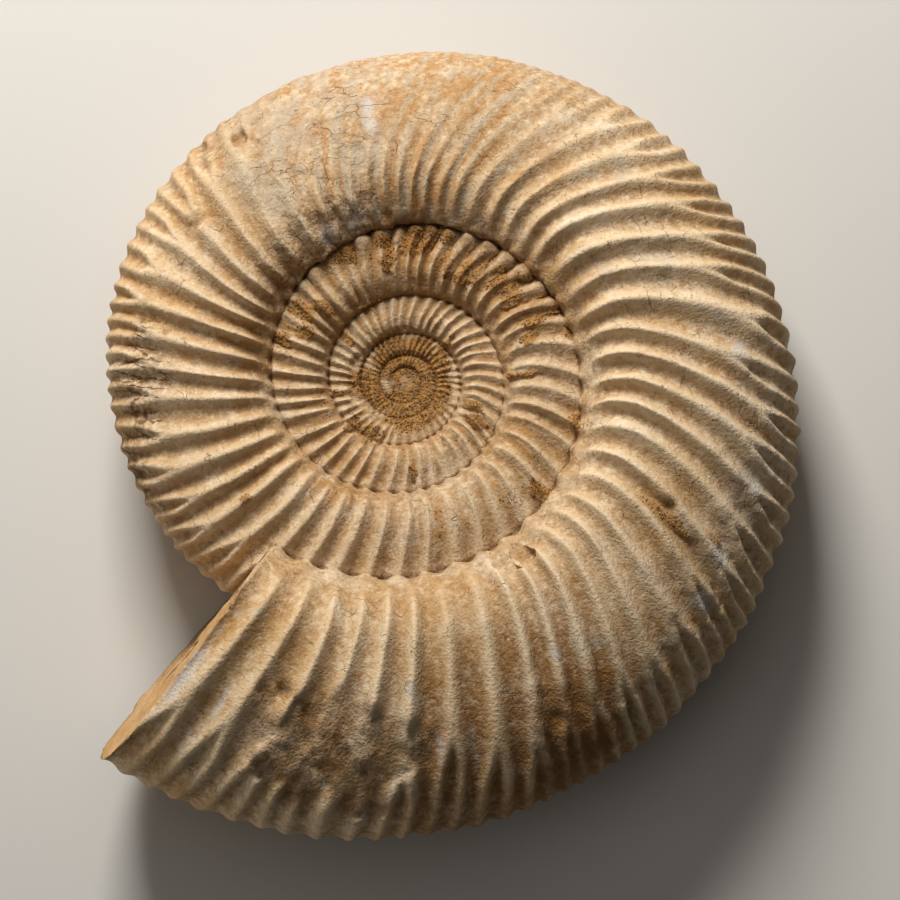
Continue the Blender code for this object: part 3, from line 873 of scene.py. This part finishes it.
def sandy_sediment(colours):
    """Iron-stained sandy sediment, crumbled and dull: the brown grains left in the furrows."""
    material = bpy.data.materials.new("sandy sediment")
    material.use_nodes = True
    tree = material.node_tree
    shader = tree.nodes["Principled BSDF"]
    shader.inputs["IOR"].default_value = 1.54
    shader.inputs["Specular IOR Level"].default_value = 0.2
    shader.inputs["Roughness"].default_value = 0.95
    place = add(tree, "ShaderNodeTexCoord").outputs["Object"]
    patches = output(tree, "ShaderNodeTexNoise", {"Vector": place, "Scale": 1.0 / 0.002, "Detail": 3.0})
    patches = output(tree, "ShaderNodeMapRange", (patches, 0.35, 0.65))
    inputs = {0: patches, 6: hex_colour(colours.umber), 7: hex_colour(colours.sand)}
    colour = add(tree, "ShaderNodeMix", inputs, data_type="RGBA").outputs[2]
    tree.links.new(colour, shader.inputs["Base Color"])
    grain = output(tree, "ShaderNodeTexNoise", {"Vector": place, "Scale": 1.0 / 0.0004, "Detail": 3.0})
    bump = add(tree, "ShaderNodeBump", {"Strength": 0.8, "Distance": 0.0002, "Height": grain})
    tree.links.new(bump.outputs[0], shader.inputs["Normal"])
    return material


def crumb_tree():
    """Crumbs of sediment: lumpy grains scattered where the fossil's mesh says sediment lies."""
    tree = new_tree(
        "sediment crumbs",
        (
            ("Fossil", "NodeSocketObject", None),
            ("Crumbs per Square Metre", "NodeSocketFloat", CRUMBS_PER_AREA),
            ("Smallest", "NodeSocketFloat", 0.00007),
            ("Largest", "NodeSocketFloat", 0.00021),
            ("Seed", "NodeSocketInt", CRUMB_SEED),
            ("Sediment", "NodeSocketMaterial", None),
        ),
        (("Geometry", "NodeSocketGeometry"),),
    )
    given = {socket.name: socket for socket in add(tree, "NodeGroupInput").outputs}
    fossil = add(tree, "GeometryNodeObjectInfo", {"Object": given["Fossil"]}, transform_space="ORIGINAL")
    laid = output(tree, "GeometryNodeInputNamedAttribute", {"Name": "sediment"}, data_type="FLOAT")
    laid = output(tree, "ShaderNodeMapRange", (laid, 0.45, 0.9))
    density = output(tree, "MULTIPLY", (laid, given["Crumbs per Square Metre"]))
    spread = add(
        tree,
        "GeometryNodeDistributePointsOnFaces",
        {"Mesh": fossil.outputs["Geometry"], "Density": density, "Seed": given["Seed"]},
    )
    grain = output(tree, "GeometryNodeMeshIcoSphere", {"Radius": 1.0, "Subdivisions": 1})
    where = output(tree, "GeometryNodeInputPosition")
    bumpy = add(tree, "ShaderNodeTexNoise", {"Vector": where, "Scale": 0.9, "Detail": 1.0}).outputs[1]
    bumpy = output(tree, "ShaderNodeVectorMath", (bumpy, (0.5, 0.5, 0.5)), operation="SUBTRACT")
    bumpy = output(tree, "ShaderNodeVectorMath", {0: bumpy, "Scale": 1.5}, operation="SCALE")
    grain = output(tree, "GeometryNodeSetPosition", {"Geometry": grain, "Offset": bumpy})
    turn = output(
        tree,
        "FunctionNodeRandomValue",
        {0: (0.0, 0.0, 0.0), 1: (math.tau, math.tau, math.tau), "Seed": given["Seed"]},
        data_type="FLOAT_VECTOR",
    )
    size = add(
        tree,
        "FunctionNodeRandomValue",
        {2: given["Smallest"], 3: given["Largest"], "Seed": given["Seed"]},
        data_type="FLOAT",
    ).outputs[1]
    crumbs = output(
        tree,
        "GeometryNodeInstanceOnPoints",
        {"Points": spread.outputs[0], "Instance": grain, "Rotation": turn, "Scale": size},
    )
    crumbs = output(tree, "GeometryNodeRealizeInstances", {"Geometry": crumbs})
    crumbs = output(tree, "GeometryNodeSetMaterial", {"Geometry": crumbs, "Material": given["Sediment"]})
    add(tree, "NodeGroupOutput", (crumbs,))
    return tree


class AmmoniteSizes(bpy.types.PropertyGroup):
    """Sizes of the coil and of what lies in it."""

    aperture_radius: bpy.props.FloatProperty(
        name="Aperture Radius", description="From the coil's centre to the outer edge at the aperture",
        default=0.085, min=0.01, max=0.3, subtype="DISTANCE", unit="LENGTH",
    )
    growth: bpy.props.FloatProperty(
        name="Growth per Turn", description="How many times larger each whorl is than the one before it",
        default=1.76, min=1.3, max=3.0, subtype="FACTOR",
    )
    half_breadth: bpy.props.FloatProperty(
        name="Half Breadth", description="Half the whorl's thickness, as a share of its outer radius",
        default=0.235, min=0.1, max=0.4, subtype="FACTOR",
    )
    rib_height: bpy.props.FloatProperty(
        name="Rib Height", description="Height of a full rib, as a share of the outer radius",
        default=FULL_RIB, min=0.0, max=0.05, subtype="FACTOR",
    )
    crumb_size: bpy.props.FloatProperty(
        name="Crumb Size", description="Radius of the largest crumb of sediment",
        default=0.00021, min=0.0001, max=0.003, subtype="DISTANCE", unit="LENGTH",
    )


class AmmoniteColours(bpy.types.PropertyGroup):
    """Colours of the stone and the sediment, as sRGB hex."""

    cream: bpy.props.StringProperty(
        name="Cream", description="The pale stone of the flanks", default="#D8C09C",
    )
    tan: bpy.props.StringProperty(name="Tan", description="The darker stone of the flanks", default="#BF9A68")
    ochre: bpy.props.StringProperty(name="Ochre", description="Warm patches in the stone", default="#B0854E")
    chalk: bpy.props.StringProperty(name="Chalk", description="Pale flecks in the stone", default="#E8DCC4")
    crest: bpy.props.StringProperty(name="Crest", description="Rubbed crests of the ribs", default="#E6D2B3")
    # Furrow brown also paints the shade in the furrows and along the seams' creases
    furrow: bpy.props.StringProperty(name="Furrow", description="Dirt between the ribs", default="#845A2B")
    grey: bpy.props.StringProperty(
        name="Grey Shell", description="Thin shell still on the stone", default="#B3A896",
    )
    pearl: bpy.props.StringProperty(name="Pearly Shell", description="Palest shell", default="#C9C2B8")
    rust: bpy.props.StringProperty(
        name="Rust", description="Iron stain in pits and streaks", default="#AD6E30",
    )
    # Umber also paints the shade and dirt in the open seam's crease
    umber: bpy.props.StringProperty(name="Umber", description="Dark sediment and cracks", default="#62421F")
    sand: bpy.props.StringProperty(name="Sand", description="Sandy sediment", default="#A67A42")
    soot: bpy.props.StringProperty(
        name="Soot", description="Blackened patches of the break", default="#5B4C3A",
    )
    floor: bpy.props.StringProperty(name="Floor", description="The plain floor", default="#D6D4CF")


class AmmoniteStage(bpy.types.PropertyGroup):
    """The camera and the lights."""

    camera_distance: bpy.props.FloatProperty(
        name="Camera Distance", description="From the coil's middle plane to the camera",
        default=0.7135, min=0.2, max=5.0, subtype="DISTANCE", unit="LENGTH",
    )
    key_power: bpy.props.FloatProperty(
        name="Key Power", description="Power of the large light beyond the top of the picture",
        default=5.0, min=0.0, max=500.0, subtype="POWER", unit="POWER",
    )
    fill_power: bpy.props.FloatProperty(
        name="Fill Power", description="Power of the soft light over the camera",
        default=0.36, min=0.0, max=500.0, subtype="POWER", unit="POWER",
    )
    side_power: bpy.props.FloatProperty(
        name="Side Power", description="Power of the weak light beyond the left of the picture",
        default=0.5, min=0.0, max=500.0, subtype="POWER", unit="POWER",
    )


def finish_piece(piece):
    """Makes a piece move with the root and hides the ammonite part of the model."""
    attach(piece, "root")
    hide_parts("ammonite")


class AMMONITE_OT_grow_coil(bpy.types.Operator):
    """Grow the ribbed coil, weather it and lay it on its flank"""

    bl_idname = "ammonite.grow_coil"
    bl_label = "Grow Coil"

    def execute(self, context):
        sizes, colours = context.scene.ammonite_sizes, context.scene.ammonite_colours
        breadth, growth = sizes.half_breadth, sizes.growth
        covered_radius = SEAM_RADIUS * growth
        covered_angle = math.acos((covered_radius - WIDEST_RADIUS) / VENTER_REACH)
        seam_height = breadth * math.sin(covered_angle) / growth
        seam_angle = math.pi - math.asin(seam_height / breadth)
        stone = limestone(colours)
        fossil = bpy.data.objects.new("fossil", bpy.data.meshes.new("seed"))
        context.scene.collection.objects.link(fossil)
        grow = fossil.modifiers.new("coil", "NODES")
        grow.node_group = coil_tree()
        set_inputs(grow, {
            "Aperture Radius": sizes.aperture_radius,
            "Growth per Turn": growth,
            "Half Breadth": breadth,
            "Seam Reach": (WIDEST_RADIUS - SEAM_RADIUS) / -math.cos(seam_angle),
            "Seam Girth Angle": seam_angle,
            "Covered Girth Angle": covered_angle,
            "Rib Height": sizes.rib_height,
            "Columns per Turn": COLUMNS_PER_TURN,
            "Rows per Quarter": ROWS_PER_QUARTER,
            "Stone": stone,
        })
        coil = evaluated_mesh(fossil)
        mesh = close_holes(coil, sizes.aperture_radius)
        upper = weather(mesh, sizes.aperture_radius, growth) >= 0.5
        mesh.materials.append(stone)
        fossil.data = mesh
        # The side it lies on is thinned to its own share of the faces, then the side that shows
        faces = np.array([(face.vertices[0], len(face.vertices) - 2) for face in mesh.polygons])
        before = faces[:, 1].sum()
        left = faces[upper[faces[:, 0]], 1].sum() + LOWER_TRIANGLES
        for name, chosen, ratio in (
            ("lower", ~upper, left / before),
            ("upper", upper, MOST_TRIANGLES / left),
        ):
            fossil.vertex_groups.new(name=name).add(np.nonzero(chosen)[0].tolist(), 1.0, "REPLACE")
            thin = fossil.modifiers.new(name, "DECIMATE")
            thin.vertex_group = name
            thin.ratio = ratio
        lying = evaluated_mesh(fossil)
        fossil.vertex_groups.clear()
        lying.transform(Matrix.Translation(COIL_CENTRE) @ REST_TURN)
        points = read_vertices(lying)
        points[:, 2] = np.maximum(points[:, 2], 0.0)
        lying.vertices.foreach_set("co", points.ravel())
        lying.shade_smooth()
        lying.update()
        fossil.data = lying
        finish_piece(fossil)
        return {"FINISHED"}


class AMMONITE_OT_scatter_crumbs(bpy.types.Operator):
    """Scatter crumbs of sediment in the furrows and the middle of the coil"""

    bl_idname = "ammonite.scatter_crumbs"
    bl_label = "Scatter Crumbs"

    def execute(self, context):
        fossil = bpy.data.objects.get("fossil")
        if fossil is None:
            raise RuntimeError("grow the coil before its crumbs")
        crumbs = bpy.data.objects.new("sediment_crumbs", bpy.data.meshes.new("sediment_crumbs"))
        context.scene.collection.objects.link(crumbs)
        scatter = crumbs.modifiers.new("crumbs", "NODES")
        scatter.node_group = crumb_tree()
        set_inputs(scatter, {
            "Fossil": fossil,
            "Crumbs per Square Metre": CRUMBS_PER_AREA,
            "Smallest": 0.35 * context.scene.ammonite_sizes.crumb_size,
            "Largest": context.scene.ammonite_sizes.crumb_size,
            "Seed": CRUMB_SEED,
            "Sediment": sandy_sediment(context.scene.ammonite_colours),
        })
        mesh = evaluated_mesh(crumbs)
        mesh.shade_smooth()
        crumbs.data = mesh
        finish_piece(crumbs)
        return {"FINISHED"}


class AMMONITE_OT_set_stage(bpy.types.Operator):
    """Lay the floor, aim the camera and hang the lights"""

    bl_idname = "ammonite.set_stage"
    bl_label = "Set Stage"

    def execute(self, context):
        scene, stage = context.scene, context.scene.ammonite_stage
        floor = bpy.data.objects.new("floor", bpy.data.meshes.new("floor"))
        corners = [(-3, -3, 0), (3, -3, 0), (3, 3, 0), (-3, 3, 0)]
        floor.data.from_pydata(corners, [], [(0, 1, 2, 3)])
        paint = bpy.data.materials.new("matt paint")
        paint.use_nodes = True
        shader = paint.node_tree.nodes["Principled BSDF"]
        shader.inputs["Base Color"].default_value = hex_colour(scene.ammonite_colours.floor)
        shader.inputs["Roughness"].default_value = 0.9
        floor.data.materials.append(paint)
        scene.collection.objects.link(floor)

        # The camera stands over the coil, tilted from its axis, and a little to one side of its centre
        tilt = Matrix.Rotation(-CAMERA_TILT, 4, "X") @ Matrix.Rotation(CAMERA_SIDE, 4, "Y")
        axes = REST_TURN @ tilt.transposed()
        lens = bpy.data.cameras.new("camera")
        lens.sensor_width = 36.0
        lens.lens = 160.0
        camera = bpy.data.objects.new("camera", lens)
        aside = Vector((0.008205, -0.011737, stage.camera_distance))
        camera.matrix_world = Matrix.Translation(COIL_CENTRE + axes @ aside) @ axes
        scene.collection.objects.link(camera)
        scene.camera = camera

        # A large light low beyond the top of the picture, and weak ones over the coil and to its left
        for name, where, width, power in (
            ("key", Vector((-0.11, 0.50, 0.29)), 0.22, stage.key_power),
            ("fill", Vector((0.0, 0.2, 0.55)), 0.45, stage.fill_power),
            ("side", Vector((-0.5, -0.2, 0.12)), 0.3, stage.side_power),
        ):
            lamp = bpy.data.lights.new(name, "AREA")
            lamp.size = width
            lamp.energy = power
            lamp.color = (1.0, 0.96, 0.91)
            light = bpy.data.objects.new(name, lamp)
            where = COIL_CENTRE + axes @ where
            aim = (COIL_CENTRE - where).to_track_quat("-Z", "Y").to_matrix().to_4x4()
            light.matrix_world = Matrix.Translation(where) @ aim
            scene.collection.objects.link(light)
        world = bpy.data.worlds.new("studio")
        world.use_nodes = True
        world.node_tree.nodes["Background"].inputs["Color"].default_value = (1.0, 0.98, 0.95, 1.0)
        world.node_tree.nodes["Background"].inputs["Strength"].default_value = 0.025
        scene.world = world
        scene.view_settings.view_transform = "Standard"
        return {"FINISHED"}


class AMMONITE_PT_panel(bpy.types.Panel):
    """Sizes, colours, camera and lights, and the steps that build the scene"""

    bl_label = "Ammonite"
    bl_idname = "AMMONITE_PT_panel"
    bl_space_type = "VIEW_3D"
    bl_region_type = "UI"
    bl_category = "Ammonite"

    def draw(self, context):
        for name, kind in GROUPS:
            for field in kind.__annotations__:
                self.layout.prop(getattr(context.scene, name), field)
        for operator in OPERATORS:
            self.layout.operator(operator.bl_idname)


GROUPS = (
    ("ammonite_sizes", AmmoniteSizes),
    ("ammonite_colours", AmmoniteColours),
    ("ammonite_stage", AmmoniteStage),
)
OPERATORS = (AMMONITE_OT_grow_coil, AMMONITE_OT_scatter_crumbs, AMMONITE_OT_set_stage)


def register():
    for name, group in GROUPS:
        bpy.utils.register_class(group)
        setattr(bpy.types.Scene, name, bpy.props.PointerProperty(type=group))
    for made in (*OPERATORS, AMMONITE_PT_panel):
        bpy.utils.register_class(made)


def unregister():
    for made in reversed((*OPERATORS, AMMONITE_PT_panel)):
        bpy.utils.unregister_class(made)
    for name, group in reversed(GROUPS):
        delattr(bpy.types.Scene, name)
        bpy.utils.unregister_class(group)


def main():
    register()
    bpy.ops.ammonite.grow_coil()
    bpy.ops.ammonite.scatter_crumbs()
    bpy.ops.ammonite.set_stage()


if __name__ == "__main__":
    main()
